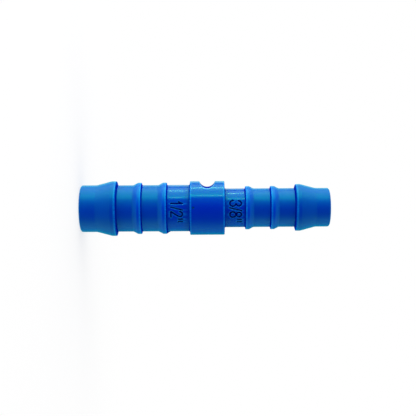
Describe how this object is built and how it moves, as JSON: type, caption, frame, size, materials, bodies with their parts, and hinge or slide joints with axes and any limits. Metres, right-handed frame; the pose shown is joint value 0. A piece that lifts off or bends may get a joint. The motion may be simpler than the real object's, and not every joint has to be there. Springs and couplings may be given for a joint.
{
  "type": "hose barb reducer",
  "caption": "Straight moulded hose connector that joins two hose sizes: a barbed spigot on each end, a round collar with a notch between them, and a passage right through.",
  "frame": {"origin": "centre of the larger end's face, which the part stands on", "axes": "+Z along the passage from the larger end to the smaller end, the notch across the collar on the -X side and running along Y, the engraved sizes facing -Y"},
  "size_m": [0.0142, 0.0142, 0.0642],
  "materials": {
    "moulded_plastic": "saturated blue, satin on the barbed ends and glossier on the collar and the smooth necks beside it"
  },
  "bodies": {
    "root": {"reducer_body": "moulded_plastic"}
  },
  "joints": []
}
